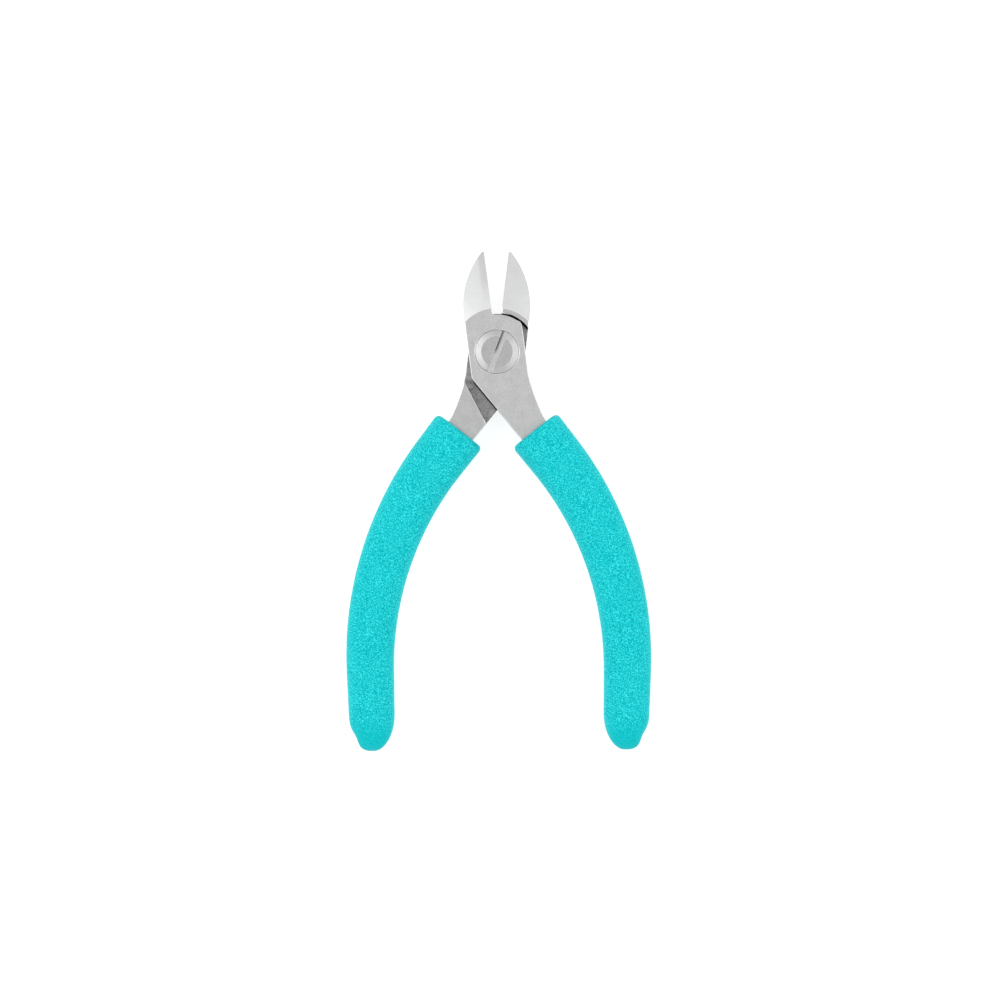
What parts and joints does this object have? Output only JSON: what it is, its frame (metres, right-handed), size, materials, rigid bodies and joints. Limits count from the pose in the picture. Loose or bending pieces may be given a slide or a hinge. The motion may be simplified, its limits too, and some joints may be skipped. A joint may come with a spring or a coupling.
{
  "type": "flush cut pliers",
  "caption": "Small flush cutting pliers: two pointed jaws on a screwed lap joint with a hidden return spring, and curved foam grips.",
  "frame": {"origin": "on the pivot's axis, in the rear face of the joint", "axes": "+Y to the cutting tips, +Z out of the front face, where the slotted screw is, and +X to the right seen from the front"},
  "size_m": [0.0698, 0.1147, 0.0124],
  "materials": {
    "ground_steel": "satin ground tool steel, finer ground on the jaws",
    "screw_steel": "turned steel with a polished chamfer",
    "spring_steel": "dark drawn spring wire",
    "foam": "fine closed-cell foam with a soft matt skin"
  },
  "bodies": {
    "front": {"front_half": "ground_steel", "right_grip": "foam"},
    "rear": {"rear_half": "ground_steel", "left_grip": "foam", "pivot_screw": "screw_steel", "lock_nut": "screw_steel", "stop_pin": "spring_steel", "return_spring": "spring_steel"}
  },
  "joints": [
    {"name": "jaw_pivot", "type": "hinge", "parent": "front", "child": "rear", "pos_m": [0, 0, 0], "axis": [0, 0, 1], "range_deg": [0, 14], "stiffness_Nm_per_rad": 0.157, "springref_deg": -25.78, "deforming": ["return_spring"]}
  ]
}
